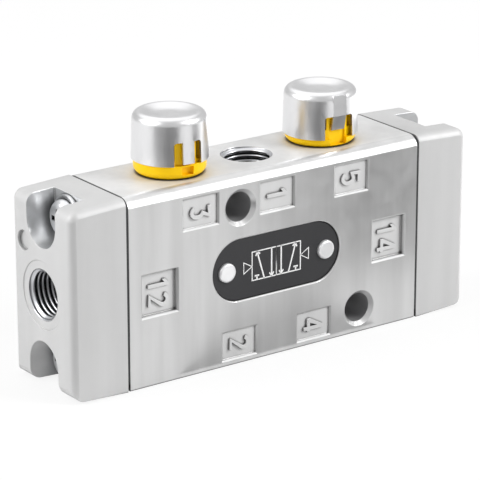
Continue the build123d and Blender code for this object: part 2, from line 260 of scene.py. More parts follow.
@dataclass(frozen=True)
class PolishedMetal(Finish):
    """Plated or bright-cut metal: it mirrors the room, a little cloudy where it was handled."""

    cloud_size: float = 3.0
    cloud_amount: float = 0.03


@dataclass(frozen=True)
class GroovedMetal(PolishedMetal):
    """Bright metal whose threads and driver recess get painted shade, darker towards the root."""

    root: Shade = Shade("#0A0A0B", 1.3, 0.5, 0.9)

    def pattern(self, tree: Tree, shader: Node, place: Socket) -> None:
        """Adds the painted shade of the roots."""
        shade = self.root.over(tree, linear(self.colour))
        tree.links.new(shade, shader.inputs["Base Color"])


@dataclass(frozen=True)
class GrainedFinish(Finish):
    """A finish with a fine even grain, such as moulded plastic, rubber or felt."""

    cloud_size: float = 5.0
    cloud_amount: float = 0.05
    grain_size: float = 0.4


@dataclass(frozen=True)
class TumbledAlloy(GrainedFinish):
    """Die-cast aluminium after tumbling in stones: soft grey gloss with faint upright streaks.

    Painted shade darkens it: broadly and a little in recesses, tightly and more in corners.
    """

    cloud_size: float = 4.0
    cloud_amount: float = 0.03
    grain_size: float = 0.45
    grain_height: float = 0.006
    streak_colour: str = "#C4C5C7"
    streak_width: float = 5.0
    streak_length: float = 60.0
    streak_detail: float = 3.0
    streak_reach: Point = (0.35, 0.65)
    # painted shade: broad and light in recesses, tight and dark in corners
    recess: Shade = Shade("#8E8F91", 7.0, 0.15, 0.5)
    corner_shade: Shade = Shade("#4A4948", 0.9, 0.35, 0.85)

    def pattern(self, tree: Tree, shader: Node, place: Socket) -> None:
        """Adds the streaks that the casting's draw leaves, and both painted shades.

        Args:
            tree: the material's node tree.
            shader: its surface shader.
            place: the place on the object, in metres.
        """
        wide, tall = per_mm(self.streak_width), per_mm(self.streak_length)
        stretch = {"Vector": place, "Scale": (wide, wide, tall)}
        stretched = add_node(tree, "ShaderNodeMapping", stretch).outputs[0]
        noise = {"Vector": stretched, "Scale": 1.0, "Detail": self.streak_detail}
        streaks = add_node(tree, "ShaderNodeTexNoise", noise).outputs[0]
        share = remap(tree, streaks, self.streak_reach)
        cast = blend(tree, share, linear(self.colour), linear(self.streak_colour))
        shaded_cast = self.corner_shade.over(tree, self.recess.over(tree, cast))
        tree.links.new(shaded_cast, shader.inputs["Base Color"])


# The body: cast aluminium, tumbled, so light spreads softly over each flat face.
BODY_ALLOY = TumbledAlloy("tumbled cast aluminium", "#D2D2D2", 0.75, 0.36, streak_colour="#C8C8C8")
# The caps: cast apart from the body and more matt, so each of their faces looks even.
CAP_ALLOY = TumbledAlloy(
    "tumbled cast aluminium, caps", "#C9C9C9", 0.4, 0.62, streak_colour="#C5C5C5"
)
# Upper notches of the caps: glossier walls, and a paler colour than the caps' faces that is painted
# light.
LIT_NOTCH_ALLOY = TumbledAlloy("cast aluminium, painted lit notch", "#D9DADB", 0.8, 0.34, streak_colour="#D3D4D5")
# The body's top: milled flat for the silencers, so it is duller than the tumbled faces.
MILLED_ALLOY = TumbledAlloy("milled cast aluminium", "#DCDCDC", 0.45, 0.56, streak_colour="#D4D4D4")
# Pads, their lower rims and numbers: a matter copy of the alloy, paler by painted light.
LIT_PAD_ALLOY = TumbledAlloy("cast aluminium, painted lit pads", "#D6D6D6", 0.4, 0.6, streak_colour="#D0D0D0")
# Threads: cut after casting, so their flanks are brighter and sharper than the face; painted shade
# darkens them towards the root.
CUT_ALLOY = GroovedMetal("cut aluminium", "#CFD0D3", 1.0, 0.32)
# Panel holes: drilled right through; their walls get a duller copy of the alloy, darker by painted
# shade.
SHADED_HOLE_ALLOY = GrainedFinish("drilled aluminium, painted shade", "#A6A6A7", 0.6, 0.55, grain_size=0.3)
# Screws and washers: steel with a bright zinc plate, cooler than the castings; painted shade darkens
# their recesses.
ZINC_STEEL = GroovedMetal("bright zinc plated steel", "#DEDFE1", 1.0, 0.3)
# Nameplate: sheet dyed black when anodised, a dull even dark grey with a metal's sheen.
BLACK_ANODISED = GrainedFinish("black anodised sheet", "#303032", 0.2, 0.5, grain_height=0.003)
# Symbol on the plate: bare metal left under the dye, read as white.
ETCHED_WHITE = Finish("white etched line", "#F1F1F1", 0.0, 0.45)
# Rivets: soft aluminium pressed smooth, near white on top.
RIVET_ALLOY = PolishedMetal("pressed aluminium rivet", "#F0F0F1", 0.6, 0.35)
# Silencer shells: pressed steel with a nickel plate; it mirrors the room in broad soft bands.
NICKEL_PLATE = PolishedMetal("nickel plated pressed steel", "#E1E1E2", 1.0, 0.31)
# Silencer bases: moulded acetal dyed yellow, with a waxy gloss.
YELLOW_ACETAL = GrainedFinish(
    "moulded yellow acetal", "#FFCE00", 0.0, 0.36, specular=0.2, grain_size=0.5, grain_height=0.004
)
# Silencer elements: pressed fibre, pale and quite without gloss.
FILTER_FELT = GrainedFinish(
    "pressed fibre felt", "#C9BE9E", 0.0, 0.95, grain_size=0.25, grain_height=0.06
)
# Gaskets and seals: nitrile rubber, near black and dull.
NITRILE = GrainedFinish("nitrile rubber", "#2E2E30", 0.0, 0.62, grain_size=0.2, grain_height=0.004)
# Spacers, bushes and pistons inside: natural acetal, milky white.
WHITE_ACETAL = GrainedFinish(
    "natural acetal", "#E9E7E0", 0.0, 0.4, grain_size=0.5, grain_height=0.004
)
# Spool: turned and hard-anodised aluminium, grey and satin.
TURNED_ALLOY = PolishedMetal("turned anodised aluminium", "#A9ABAE", 1.0, 0.3)

SLOT_FINISHES = {
    "body_alloy": BODY_ALLOY,
    "cap_alloy": CAP_ALLOY,
    "gasket_rubber": NITRILE,
    "zinc_steel": ZINC_STEEL,
    "nameplate_black": BLACK_ANODISED,
    "rivet_alloy": RIVET_ALLOY,
    "spool_alloy": TURNED_ALLOY,
    "acetal_white": WHITE_ACETAL,
    "seal_rubber": NITRILE,
    "silencer_yellow": YELLOW_ACETAL,
    "filter_felt": FILTER_FELT,
    "plated_shell": NICKEL_PLATE,
}


# Making meshes


class NodeShape:
    """A Geometry Nodes tree with named inputs, run to give a plain mesh."""

    def __init__(self, name: str, *measures: str, counts: Sequence[str] = ()) -> None:
        """Makes the tree, with Geometry as its first input.

        Args:
            name: what the tree makes.
            *measures: the names of its inputs that are plain numbers.
            counts: the names of those that are whole numbers.
        """
        self.tree = bpy.data.node_groups.new(name, "GeometryNodeTree")
        self.keys: dict[str, str] = {}
        sockets = self.tree.interface
        sockets.new_socket("Mesh", in_out="OUTPUT", socket_type="NodeSocketGeometry")
        kinds = {"Geometry": "Geometry"} | dict.fromkeys(measures, "Float")
        for label, kind in (kinds | dict.fromkeys(counts, "Int")).items():
            item = sockets.new_socket(label, in_out="INPUT", socket_type="NodeSocket" + kind)
            self.keys[label] = item.identifier
        self.entry = self.tree.nodes.new("NodeGroupInput")

    def given(self, name: str) -> Socket:
        """Gives the socket that carries a named input inside the tree."""
        return self.entry.outputs[name]

    def node(self, kind: str, inputs: Inputs = (), **settings: object) -> Socket:
        """Adds a node to the tree.

        Args:
            kind: the node's type name.
            inputs: what feeds its inputs, by place or by name.
            **settings: the node's own properties.

        Returns:
            The node's first output.
        """
        return add_node(self.tree, kind, inputs, **settings).outputs[0]

    def step(self, operation: str, *inputs: Value) -> Socket:
        """Adds one step of arithmetic and gives its result."""
        return self.node("ShaderNodeMath", inputs, operation=operation)

    def close(self, geometry: Socket, finish: Finish) -> None:
        """Ends the tree with real geometry in its finish.

        Args:
            geometry: what the tree has made.
            finish: the finish that the mesh takes.
        """
        real = self.node("GeometryNodeRealizeInstances", [geometry])
        dressed = self.node("GeometryNodeSetMaterial", {0: real, "Material": finish.material()})
        add_node(self.tree, "NodeGroupOutput", [dressed])

    def run(self, base: Object, name: str, **values: float | str) -> Object:
        """Runs the tree on a base object, which is used up.

        Args:
            base: holds what comes in as Geometry.
            name: the finished piece's name.
            **values: the named inputs, with _ for a space.

        Returns:
            The finished piece, a plain mesh at the origin.
        """
        modifier = base.modifiers.new(name, "NODES")
        modifier.node_group = self.tree
        for key, value in values.items():
            modifier[self.keys[key.replace("_", " ")]] = value
        mesh = applied_mesh(base)
        bpy.data.objects.remove(base)
        return add_object(name, mesh)


def add_object(name: str, data: bpy.types.ID) -> Object:
    """Puts data into the scene at the origin.

    Args:
        name: the object's name.
        data: a mesh, curve, light or camera.

    Returns:
        The new object.
    """
    data.name = name
    made = bpy.data.objects.new(name, data)
    bpy.context.scene.collection.objects.link(made)
    return made


def applied_mesh(piece: Object) -> bpy.types.Mesh:
    """Gives the mesh that an object's modifiers make of it."""
    graph = bpy.context.evaluated_depsgraph_get()
    return bpy.data.meshes.new_from_object(piece.evaluated_get(graph), depsgraph=graph)


def add_points(name: str, points: Sequence[Mouth]) -> Object:
    """Makes loose points that each carry the direction their piece faces.

    Args:
        name: the object's name.
        points: the place of each, in metres, and its direction.

    Returns:
        A mesh object of loose points.
    """
    mesh = bpy.data.meshes.new(name)
    mesh.from_pydata([tuple(place) for place, _ in points], [], [])
    facing = mesh.attributes.new("outward", "FLOAT_VECTOR", "POINT")
    facing.data.foreach_set("vector", [c for _, way in points for c in way])
    return add_object(name, mesh)


def thick_line(points: Sequence[Point], width: float) -> list[Point]:
    """Gives a line its width; sharp corners are cut short, without a spike.

    Args:
        points: the middle of the line.
        width: how wide it becomes.

    Returns:
        The closed outline.
    """
    longest_corner, narrowest = 1.35, 0.1
    sides: tuple[list[Point], list[Point]] = ([], [])
    for k, point in enumerate(points):
        here = Vector(point)
        before = here - Vector(points[k - 1]) if k else None
        after = Vector(points[k + 1]) - here if k + 1 < len(points) else None
        first, last = (before or after).normalized(), (after or before).normalized()
        along = (first + last).normalized()
        across = Vector((-along.y, along.x)) * (width / 2)
        stretch = min(1 / max(along.dot(first), narrowest), longest_corner)
        for side, line in zip((1, -1), sides):
            line.append(tuple(here + across * (stretch * side)))
    return sides[0] + sides[1][::-1]


def add_lines(name: str, lines: Sequence[Stroke]) -> Object:
    """Makes a curve object of straight lines in the XY plane.

    Args:
        name: the object's name.
        lines: the points of each in millimetres, and whether it is closed.

    Returns:
        The curve object.
    """
    data = bpy.data.curves.new(name, "CURVE")
    data.dimensions = "3D"
    for points, closed in lines:
        spline = data.splines.new("POLY")
        spline.points.add(len(points) - 1)
        spline.use_cyclic_u = closed
        for spot, (right, up) in zip(spline.points, points):
            spot.co = (right * MM, up * MM, 0.0, 1.0)
    return add_object(name, data)


class Edge(Enum):
    """How wide the broken edge of a piece is, in millimetres."""

    SHARP = 0.0
    FINE = 0.08
    CAST = 0.16


def soften(piece: Object, edge: float) -> None:
    """Smooths a mesh and breaks its sharp edges.

    Args:
        piece: the mesh object, changed in place.
        edge: width of a broken edge in millimetres, or nought to leave the edges sharp.
    """
    mesh = piece.data
    for polygon in mesh.polygons:
        polygon.use_smooth = True
    mesh.set_sharp_from_angle(angle=math.radians(SHARP_ANGLE))
    if edge:
        bevel = piece.modifiers.new("broken edges", "BEVEL")
        bevel.width = edge * MM
        bevel.segments = 2
        bevel.limit_method = "ANGLE"
        bevel.angle_limit = math.radians(BROKEN_ANGLE)
        bevel.miter_outer = "MITER_ARC"
    # flat faces keep their own direction, and the curved ones beside them take it up
    level = piece.modifiers.new("level flats", "WEIGHTED_NORMAL")
    level.mode = "FACE_AREA"
    level.weight = 100
    level.keep_sharp = True
    piece.data = applied_mesh(piece)
    piece.modifiers.clear()
    piece.data.name = piece.name


def merged_copy(node: str, finish: Finish, edge: Edge) -> Object:
    """Makes a joined, smooth copy of a solid, which then stands for it.

    Args:
        node: the solid's name.
        finish: the finish that the copy takes.
        edge: how its edges are broken.

    Returns:
        The copy, already riding with its solid's body.
    """
    source = frame["nodes"][node]
    work = bmesh.new()
    work.from_mesh(source.data)
    bmesh.ops.remove_doubles(work, verts=work.verts, dist=WELD)
    flat = math.radians(FLAT_ANGLE)
    bmesh.ops.dissolve_limit(work, angle_limit=flat, verts=work.verts, edges=work.edges)
    mesh = bpy.data.meshes.new(node)
    work.to_mesh(mesh)
    work.free()
    mesh.materials.append(finish.material())
    for polygon in mesh.polygons:
        polygon.material_index = 0
    piece = add_object("dressed_" + node, mesh)
    soften(piece, edge.value)
    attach(piece, source["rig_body"])
    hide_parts(node)
    log.info("%s stands for %s with %d faces", piece.name, node, len(piece.data.polygons))
    return piece


def add_to_housing(piece: Object) -> None:
    """Lets an added piece ride with the housing.

    Args:
        piece: the mesh object.
    """
    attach(piece, "housing")
    log.info("%s has %d faces", piece.name, len(piece.data.polygons))


def paint(piece: Object, finish: Finish, faces: Sequence[Face]) -> None:
    """Gives some faces of a piece a finish of their own.

    Args:
        piece: the mesh object.
        finish: the finish of those faces.
        faces: the faces.
    """
    materials = piece.data.materials
    materials.append(finish.material())
    for face in faces:
        face.material_index = len(materials) - 1
    log.info("%d faces of %s are %s", len(faces), piece.name, finish.name)


# Sub-assemblies


@dataclass
class Threads:
    """Pipe threads in the ports, which the solids leave as plain bores. Sizes in millimetres.

    The part of a pitch called root_share is flat on either side of the root and of the crest.
    A pitch has as many rows of faces as rows says, and a full circle as many points as around.
    """

    mouth_radius: float = 6.57
    thread_depth: float = 0.856
    pitch: float = 1.337
    port_length: float = 10.3
    pilot_length: float = 9.6
    spotface_depth: float = 0.25
    root_share: float = 0.05
    rows: int = 8
    around: int = 72

    def make_shape(self) -> NodeShape:
        """Builds the tree that winds one thread into each mouth.

        Returns:
            The tree, whose geometry input is one point at each mouth.
        """
        measures = ("Mouth Radius", "Thread Depth", "Pitch", "Length")
        shape = NodeShape("wound thread", *measures, counts=("Rows", "Around"))
        node, step = shape.node, shape.step
        pitch, length = shape.given("Pitch"), shape.given("Length")
        mouth, rows = shape.given("Mouth Radius"), shape.given("Rows")
        fits = step("DIVIDE", length, pitch)
        whole = step("CEIL", fits)
        turns = step("ADD", whole, 1.0)
        strips = step("MULTIPLY_ADD", turns, rows, 1.0)
        sheet = {"Size X": 1.0, "Size Y": turns, "Vertices Y": strips}
        sheet["Vertices X"] = shape.given("Around")
        grid = node("GeometryNodeMeshGrid", sheet)
        start = node("GeometryNodeInputPosition")
        spot = add_node(shape.tree, "ShaderNodeSeparateXYZ", [start])
        share = step("ADD", spot.outputs[0], 0.5)
        angle = step("MULTIPLY", share, math.tau)
        middle = step("MULTIPLY_ADD", turns, 0.5, spot.outputs[1])
        turn = step("SUBTRACT", middle, 1.0)
        # the depth goes down by one pitch a turn, and stops flush at the mouth and at the floor
        lead = step("ADD", turn, share)
        sunk = step("MULTIPLY", lead, pitch)
        depth = node("ShaderNodeClamp", [sunk, 0.0, length])
        wave = step("PINGPONG", turn, 0.5)
        flank = (self.root_share, 0.5 - self.root_share)
        rise = [wave, *flank, 0.0, shape.given("Thread Depth")]
        crest = node("ShaderNodeMapRange", rise, interpolation_type="SMOOTHSTEP")
        wound = step("SUBTRACT", mouth, crest)
        left_over = step("SUBTRACT", length, depth)
        nearest = step("MINIMUM", depth, left_over)
        bevel = step("SUBTRACT", mouth, nearest)
        radius = step("MAXIMUM", wound, bevel)
        cosine = step("COSINE", angle)
        sine = step("SINE", angle)
        x = step("MULTIPLY", radius, cosine)
        y = step("MULTIPLY", radius, sine)
        z = step("MULTIPLY", depth, -1.0)
        place = node("ShaderNodeCombineXYZ", [x, y, z])
        rolled = node("GeometryNodeSetPosition", {"Geometry": grid, "Position": place})
        seam = {"Geometry": rolled, "Distance": 2 * WELD}
        joined = node("GeometryNodeMergeByDistance", seam)
        smooth = node("GeometryNodeSetShadeSmooth", [joined])
        stored = {"Name": "outward"}
        way = node("GeometryNodeInputNamedAttribute", stored, data_type="FLOAT_VECTOR")
        turned = node("FunctionNodeAlignRotationToVector", {"Vector": way}, axis="Z")
        spots = {"Points": shape.given("Geometry"), "Instance": smooth, "Rotation": turned}
        shape.close(node("GeometryNodeInstanceOnPoints", spots), CUT_ALLOY)
        return shape

    def build(self) -> None:
        """Winds the threads of the three open ports and of the two pilot ports."""
        shape = self.make_shape()
        ports = {m["name"]: m for m in frame["record"]["mounts"]}
        mouths = [port_mouth(ports[name], "valve_body") for name in ("port_1", "port_2", "port_4")]
        self.wind(shape, "port_threads", mouths, self.port_length)
        pilots = (("pilot_12", "left_end_cap"), ("pilot_14", "right_end_cap"))
        mouths = [port_mouth(ports[name], cap, self.spotface_depth) for name, cap in pilots]
        self.wind(shape, "pilot_threads", mouths, self.pilot_length)

    def wind(
        self, shape: NodeShape, name: str, mouths: Sequence[Mouth], length: float
    ) -> None:
        """Makes one piece of several threads.

        Args:
            shape: the tree.
            name: the piece's name.
            mouths: the middle of each mouth and the way it faces, in metres.
            length: how deep the thread goes, in millimetres.
        """
        piece = shape.run(
            add_points(name, mouths),
            name,
            Mouth_Radius=self.mouth_radius * MM,
            Thread_Depth=self.thread_depth * MM,
            Pitch=self.pitch * MM,
            Length=length * MM,
            Rows=self.rows,
            Around=self.around,
        )
        add_to_housing(piece)


def port_mouth(mount: dict, node: str, sunk: float = 0.0) -> Mouth:
    """Finds where a port opens in the face of its solid.

    Args:
        mount: the port as the record states it.
        node: the solid that it is cut in.
        sunk: how far the mouth lies below the solid's face, in millimetres.

    Returns:
        The middle of the mouth in metres, and the way it faces.
    """
    place, outward = Vector(mount["pos_m"]), Vector(mount["axis"])
    low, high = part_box(node)
    face = sum(max(a * w, b * w) for a, b, w in zip(low, high, outward))
    rise = face - place.dot(outward) - sunk * MM
    return place + outward * rise, outward


@dataclass
class RaisedNumerals:
    """Port numbers that stand up from the floors of the front face's sunk pads.

    The front is at the lowest Y. Sizes in millimetres; heights are above the bottom face.
    """

    stroke: float = 1.0
    half_width: float = 1.3
    half_height: float = 2.62
    rise: float = 0.6
    broken_edge: float = 0.08
    pair_pitch: float = 4.0
    pad_depth: float = 0.75
    side_pad_depth: float = 1.35
    port_pitch: float = 23.5
    side_pad_x: float = 35.9
    upper_z: float = 42.65
    lower_z: float = 5.4
    side_z: float = 23.95

    def bowl(self, middle: float, reach: Point, start: float, end: float) -> list[Point]:
        """Draws part of an oval about a middle on the numeral's own upright line.

        Args:
            middle: height of the oval's middle.
            reach: half its width and half its height.
            start: angle in degrees at which it starts, anticlockwise from the right.
            end: angle in degrees at which it ends.

        Returns:
            Points along it, in order.
        """
        steps = 14
        angles = [math.radians(start + (end - start) * k / steps) for k in range(steps + 1)]
        return [(reach[0] * math.cos(a), middle + reach[1] * math.sin(a)) for a in angles]

    def outlines(self, numeral: str) -> list[list[Point]]:
        """Draws one numeral, upright and about its own middle.

        Args:
            numeral: a digit from 1 to 5.

        Returns:
            Closed outlines; one inside another is a hole.
        """
        wide, tall, half = self.half_width, self.half_height, self.stroke / 2
        top = tall + half
        if numeral == "1":
            flag = [(half, top), (-0.4 * half, top), (-wide, 0.66 * top), (-wide, 0.34 * top)]
            return [[(-half, -top), (half, -top), *flag, (-half, 0.56 * top)]]
        if numeral == "4":
            bar, stem, left, right = -0.6 * tall, 0.7 * wide, -wide - half, wide + half
            low, high, near, far = bar - half, bar + half, stem - half, stem + half
            outer = [(near, -top), (far, -top), (far, low), (right, low), (right, high)]
            outer += [(far, high), (far, top), (stem - 0.8 * half, top), (left, high)]
            outer += [(left, low), (near, low)]
            return [outer, [(near, high), (near, 0.36 * top), (-0.42 * wide, high)]]
        foot = self.bowl(-0.36 * tall, (wide, 0.64 * tall), 110, -145)
        head = self.bowl(0.52 * tall, (wide, 0.48 * tall), 165, -35)
        lines = {
            "2": [*head, (-wide, -tall), (wide, -tall)],
            "3": [(-wide, tall), (0.95 * wide, tall), *foot[2:]],
            "5": [(wide, tall), (-0.8 * wide, tall), (-0.95 * wide, 0.1 * tall), *foot],
        }
        return [thick_line(lines[numeral], self.stroke)]

    def make_shape(self) -> NodeShape:
        """Builds the tree that raises flat outlines into solid numerals.

        Returns:
            The tree, whose geometry input is the outlines.
        """
        shape = NodeShape("raised numeral", "Rise")
        flat = shape.node("GeometryNodeFillCurve", {"Curve": shape.given("Geometry")}, mode="NGONS")
        raised = shape.node(
            "GeometryNodeExtrudeMesh",
            {"Mesh": flat, "Offset Scale": shape.given("Rise"), "Individual": False},
        )
        under = shape.node("GeometryNodeFlipFaces", [flat])
        whole = shape.node("GeometryNodeJoinGeometry", [[raised, under]])
        joined = {"Geometry": whole, "Distance": WELD}
        # the numbers take the pad alloy, paler by painted light
        shape.close(shape.node("GeometryNodeMergeByDistance", joined), LIT_PAD_ALLOY)
        return shape

    def build(self) -> None:
        """Raises the seven numbers."""
        shape = self.make_shape()
        pitch, side = self.port_pitch, self.side_pad_x
        upper, lower = (self.upper_z, self.pad_depth), (self.lower_z, self.pad_depth)
        ends = (self.side_z, self.side_pad_depth)
        marks = (
            ("3", -pitch, *upper),
            ("1", 0.0, *upper),
            ("5", pitch, *upper),
            ("2", -pitch / 2, *lower),
            ("4", pitch / 2, *lower),
            ("12", -side, *ends),
            ("14", side, *ends),
        )
        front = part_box("valve_body")[0].y / MM
        # a number lies on its right side: it reads downwards and its top points right
        lying = Matrix(((0, 1, 0, 0), (0, 0, -1, 0), (-1, 0, 0, 0), (0, 0, 0, 1)))
        for number, x, z, depth in marks:
            name = "numeral_" + number
            lines = []
            for place, digit in enumerate(number):
                shift = (place - (len(number) - 1) / 2) * self.pair_pitch
                lines += [[(a + shift, b) for a, b in line] for line in self.outlines(digit)]
            drawn = add_lines(name, [(line, True) for line in lines])
            piece = shape.run(drawn, name, Rise=self.rise * MM)
            middle = Vector((x, front + depth, z)) * MM
            piece.data.transform(Matrix.Translation(middle) @ lying)
            soften(piece, self.broken_edge)
            add_to_housing(piece)


@dataclass
class Nameplate:
    """The black plate with its rivets and, etched on it, the general symbol of such a valve.

    The symbol is two squares, one for each position, with a piloted triangle at each end.
    Sizes in millimetres, from the middle of the plate.
    """

    square: float = 7.6
    port_reach: float = 2.3
    arrow: float = 1.1
    arrow_spread: float = 0.6
    pilot_length: float = 2.6
    pilot_height: float = 3.0
    stop_width: float = 1.4
    line_width: float = 0.42
    line_height: float = 0.03

    def strokes(self) -> list[Stroke]:
        """Draws the symbol.

        Returns:
            Each line's points, right and up from the middle, and whether it is closed.
        """
        size, half, reach = self.square, self.square / 2, self.port_reach
        found: list[Stroke] = []
        for side in (-1, 1):
            middle = side * half
            left, right = middle - half, middle + half
            found.append(([(left, -half), (right, -half), (right, half), (left, half)], True))
            tip, back = side * size, side * (size + self.pilot_length)
            rise = self.pilot_height / 2
            found.append(([(tip, 0.0), (back, rise), (back, -rise)], True))
            # pressure goes to the port on the far side, and the other port empties
            stop, open_port = middle + side * reach, middle - side * reach
            found += self.arrow_line((middle, -half), (stop, half))
            found += self.arrow_line((open_port, half), (open_port, -half))
            foot, bar = self.arrow - half, self.stop_width / 2
            found.append(([(stop, -half), (stop, foot)], False))
            found.append(([(stop - bar, foot), (stop + bar, foot)], False))
        return found

    def arrow_line(self, start: Point, end: Point) -> list[Stroke]:
        """Draws a line with an open arrowhead at its end.

        Args:
            start: where it starts.
            end: where the arrowhead is.

        Returns:
            Two lines, the shaft and the head.
        """
        tip = Vector(end)
        along = (Vector(start) - tip).normalized() * self.arrow
        across = Vector((-along.y, along.x)) * self.arrow_spread
        head = [tuple(tip + along + across), tuple(tip), tuple(tip + along - across)]
        return [([start, end], False), (head, False)]

    def make_shape(self) -> NodeShape:
        """Builds the tree that gives flat lines their width.

        Returns:
            The tree, whose geometry input is the lines.
        """
        shape = NodeShape("etched lines", "Line Width", "Flattening")
        width = shape.given("Line Width")
        profile = shape.node("GeometryNodeCurvePrimitiveQuadrilateral", [width, width])
        drawn = {"Curve": shape.given("Geometry"), "Profile Curve": profile, "Fill Caps": True}
        solid = shape.node("GeometryNodeCurveToMesh", drawn)
        scale = shape.node("ShaderNodeCombineXYZ", [1.0, 1.0, shape.given("Flattening")])
        flat = shape.node("GeometryNodeTransform", {"Geometry": solid, "Scale": scale})
        shape.close(flat, ETCHED_WHITE)
        return shape

    def build(self) -> None:
        """Dresses the plate and its rivets, and etches the symbol."""
        merged_copy("nameplate", BLACK_ANODISED, Edge.FINE)
        merged_copy("nameplate_rivets", RIVET_ALLOY, Edge.SHARP)
        piece = self.make_shape().run(
            add_lines("plate_symbol", self.strokes()),
            "plate_symbol",
            Line_Width=self.line_width * MM,
            Flattening=2 * self.line_height / self.line_width,
        )
        low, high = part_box("nameplate")
        upright = Matrix.Rotation(math.radians(90), 4, "X")
        middle = Matrix.Translation((0.0, low.y, (low.z + high.z) / 2))
        piece.data.transform(middle @ upright)
        add_to_housing(piece)


@dataclass
class EndCaps:
    """The two cast caps, with upper notches painted brighter, and their screws and washers.

    Sizes in millimetres: the notch's radius, its middle from the cap's top, its floor from the
    valve's middle, and the broken edge round it. The cap's own top has a normal above level.
    """

    notch_radius: float = 6.56
    notch_inset: float = 6.3
    notch_floor: float = 53.2
    notch_edge: float = 0.25
    level: float = 0.9

    def in_notch(self, face: Face, low: Vector, high: Vector) -> bool:
        """Tells the walls of the upper screw notch from the cap's other faces.

        Args:
            face: a face of the cap.
            low: the cap's lowest corner, in metres.
            high: its highest corner.

        Returns:
            Whether the face is part of the notch.
        """
        end = max(abs(low.x), abs(high.x)) - self.notch_edge * MM
        rise = face.center.z - (high.z - self.notch_inset * MM)
        # above its middle the notch has straight sides, and below it an arc
        away = math.hypot(face.center.y, min(rise, 0.0))
        top = abs(face.normal.z) > self.level and rise > 0
        inside = away < self.notch_radius * MM and not top
        return inside and self.notch_floor * MM < abs(face.center.x) < end

    def build(self) -> None:
        """Dresses both ends."""
        for side in ("left", "right"):
            cap = merged_copy(side + "_end_cap", CAP_ALLOY, Edge.CAST)
            low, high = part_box(side + "_end_cap")
            # the upper notches' walls get painted light: a paler, glossier copy of the cap alloy
            paint(cap, LIT_NOTCH_ALLOY, [f for f in cap.data.polygons if self.in_notch(f, low, high)])
            merged_copy(side + "_cap_screws", ZINC_STEEL, Edge.SHARP)
            merged_copy(side + "_cap_washers", ZINC_STEEL, Edge.FINE)


class Silencers:
    """The two exhaust silencers: yellow base, felt and pressed shell."""

    def build(self) -> None:
        """Dresses both silencers."""
        for side in ("left", "right"):
            merged_copy(side + "_silencer_base", YELLOW_ACETAL, Edge.FINE)
            merged_copy(side + "_silencer_element", FILTER_FELT, Edge.SHARP)
            merged_copy(side + "_silencer_shell", NICKEL_PLATE, Edge.FINE)


@dataclass
class Body:
    """The block, with drilled panel holes, sunk pads and a milled top. Sizes in millimetres.

    A panel hole's wall lies within hole_reach of its axis, and deeper than hole_edge. A pad's
    floor lies between the pad_depths under the front. What lies within top_depth of the top is
    milled, and every ledge lies below ledge_depth. The other values are parts of a normal.
    """

    hole_reach: float = 4.0
    hole_edge: float = 1.05
    pad_depths: Point = (0.5, 1.6)
    top_depth: float = 0.05
    ledge_depth: float = 4.05
    level: float = 0.99
    ledge_side: float = 0.05
    ledge_up: float = 0.5
    ledge_front: Point = (-0.9, -0.1)

    def in_hole(self, face: Face, holes: Sequence[Vector]) -> bool:
        """Tells whether a face is near the axis of a panel hole."""
        away = (face.center - hole for hole in holes)
        return any(math.hypot(a.x, a.z) < self.hole_reach * MM for a in away)

    def is_ledge(self, face: Face) -> bool:
        """Tells a ledge that slopes down to the front, such as a pad's lower rim.

        Args:
            face: a face of the body.

        Returns:
            Whether the face is such a ledge.
        """
        side, front, up = face.normal
        low, high = self.ledge_front
        return abs(side) < self.ledge_side and up > self.ledge_up and low < front < high

    def build(self) -> None:
        """Dresses the block; a later finish goes over an earlier one."""
        body = merged_copy("valve_body", BODY_ALLOY, Edge.CAST)
        faces = body.data.polygons
        low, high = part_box("valve_body")
        mounts = frame["record"]["mounts"]
        holes = [Vector(m["pos_m"]) for m in mounts if m["name"].endswith("panel_hole")]
        # the panel holes' walls are darkened with painted shade
        inner = abs(low.y) - self.hole_edge * MM
        walls = [f for f in faces if abs(f.center.y) < inner and self.in_hole(f, holes)]
        paint(body, SHADED_HOLE_ALLOY, walls)
        # pad floors and the ledges that face up and forward are made paler: painted light
        shallow, deep = (low.y + depth * MM for depth in self.pad_depths)
        front = [f for f in faces if f.normal.y < -self.level and shallow < f.center.y < deep]
        highest = high.z - self.ledge_depth * MM
        lit_ledges = [f for f in faces if f.center.z < highest and self.is_ledge(f)]
        paint(body, LIT_PAD_ALLOY, front + lit_ledges)
        top = high.z - self.top_depth * MM
        milled = [f for f in faces if f.normal.z > self.level and f.center.z > top]
        paint(body, MILLED_ALLOY, milled)


class Valve:
    """The whole valve: its sub-assemblies, built and dressed in order."""

    def dress_solids(self) -> None:
        """Gives each solid the finish of its slot; most stay inside and out of sight."""
        for entry in frame["record"]["subparts"]:
            data = frame["nodes"][entry["node"]].data
            data.materials[0] = SLOT_FINISHES[entry["material_slot"]].material()

    def build(self) -> None:
        """Builds every piece."""
        self.dress_solids()
        for group in (Body(), Threads(), RaisedNumerals(), Nameplate(), EndCaps(), Silencers()):
            group.build()


# Camera and light


@dataclass(frozen=True)
class Lamp:
    """A soft round lamp that looks at the valve.

    Its azimuth and elevation are in degrees, its distance and width in metres, its power in watts.
    """

    name: str
    azimuth: float
    elevation: float
    distance: float
    width: float
    power: float


@dataclass(frozen=True)
class Card:
    """A glowing card that lies just above the floor, and that only shiny surfaces mirror.

    Its corners are in millimetres.
    """

    name: str
    corners: Sequence[Point]
    colour: str
    strength: float = 1.0

    def build(self) -> None:
        """Lays the card down, with its glow."""
        material = bpy.data.materials.new(self.name)
        material.cycles.emission_sampling = "NONE"
        tree = empty_tree(material)
        glow = add_node(tree, "ShaderNodeEmission", [linear(self.colour), self.strength])
        add_node(tree, "ShaderNodeOutputMaterial", [glow.outputs[0]])
        mesh = bpy.data.meshes.new(self.name)
        points = [(x * MM, y * MM, MM) for x, y in self.corners]
        mesh.from_pydata(points, [], [tuple(range(len(points)))])
        mesh.materials.append(material)
        card = add_object(self.name, mesh)
        card.visible_camera = card.visible_diffuse = card.visible_shadow = False


